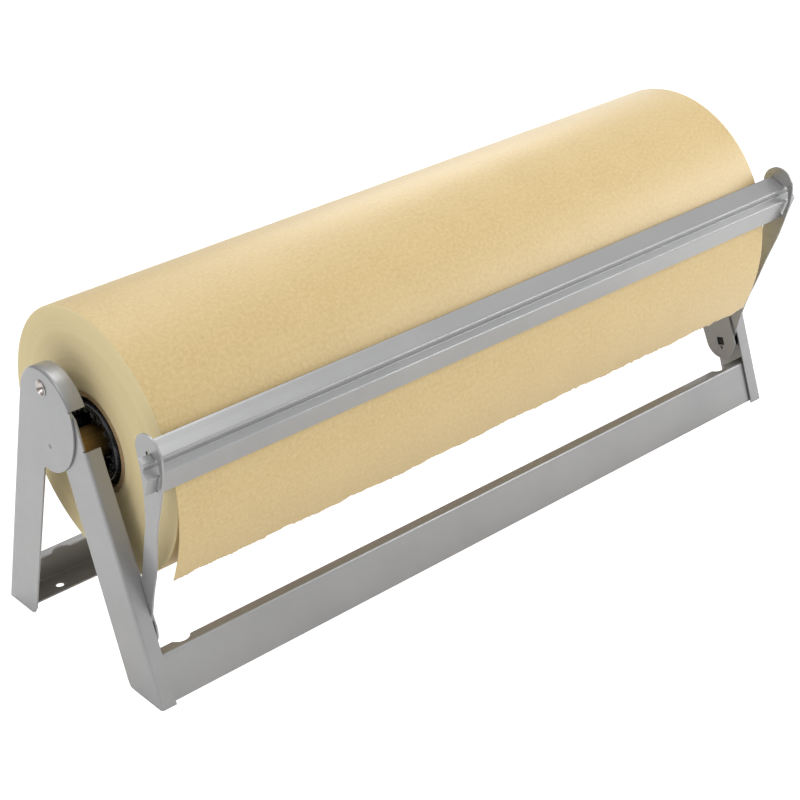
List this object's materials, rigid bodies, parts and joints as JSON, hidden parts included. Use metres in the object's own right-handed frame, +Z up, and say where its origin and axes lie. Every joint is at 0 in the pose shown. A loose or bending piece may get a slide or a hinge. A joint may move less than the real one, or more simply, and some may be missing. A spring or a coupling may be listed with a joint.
{
  "type": "countertop roll paper dispenser",
  "caption": "Countertop dispenser for a wide roll of wrapping paper, with A-shaped sheet steel end frames, cross rails and a sprung tear bar on two swing arms.",
  "frame": {"origin": "on the counter, under the middle of the dispenser's outer box", "axes": "+X along the roll, towards the right end frame; -Y towards the tear bar and the user; +Z up"},
  "size_m": [0.6668, 0.2402, 0.2785],
  "materials": {
    "enamel": "satin light grey enamel",
    "plated": "bright zinc plating",
    "blackened": "oil blackened steel",
    "spring_steel": "drawn wire",
    "black_plastic": "glossy black moulding",
    "kraft_paper": "natural kraft",
    "core_board": "wound core board"
  },
  "bodies": {
    "frame": {"left_rear_leg": "enamel", "left_front_leg": "enamel", "left_inner_bracket": "enamel", "left_head_eyelet": "plated", "left_spacer_lower": "plated", "left_spacer_upper": "plated", "left_pivot_pin": "blackened", "left_torsion_spring": "spring_steel", "right_rear_leg": "enamel", "right_front_leg": "enamel", "right_inner_bracket": "enamel", "right_head_eyelet": "plated", "right_spacer_lower": "plated", "right_spacer_upper": "plated", "right_pivot_pin": "blackened", "right_torsion_spring": "spring_steel", "front_rail": "enamel", "rear_rail": "enamel", "paper_tail": "kraft_paper"},
    "cutter": {"left_swing_arm": "enamel", "right_swing_arm": "enamel", "tear_bar": "enamel", "tear_blade": "enamel"},
    "roll": {"left_core_plug": "black_plastic", "right_core_plug": "black_plastic", "axle_tube": "plated", "paper_core": "core_board", "paper_roll": "kraft_paper"}
  },
  "joints": [
    {"name": "cutter_swing", "type": "hinge", "parent": "frame", "child": "cutter", "pos_m": [0, -0.0542, 0.0515], "axis": [1, 0, 0], "range_deg": [0, 70], "stiffness_Nm_per_rad": 0.9, "springref_deg": -40.11, "deforming": ["left_torsion_spring", "right_torsion_spring"]},
    {"name": "roll_spin", "type": "hinge", "parent": "frame", "child": "roll", "pos_m": [0, 0, 0.176], "axis": [1, 0, 0], "continuous": true}
  ]
}
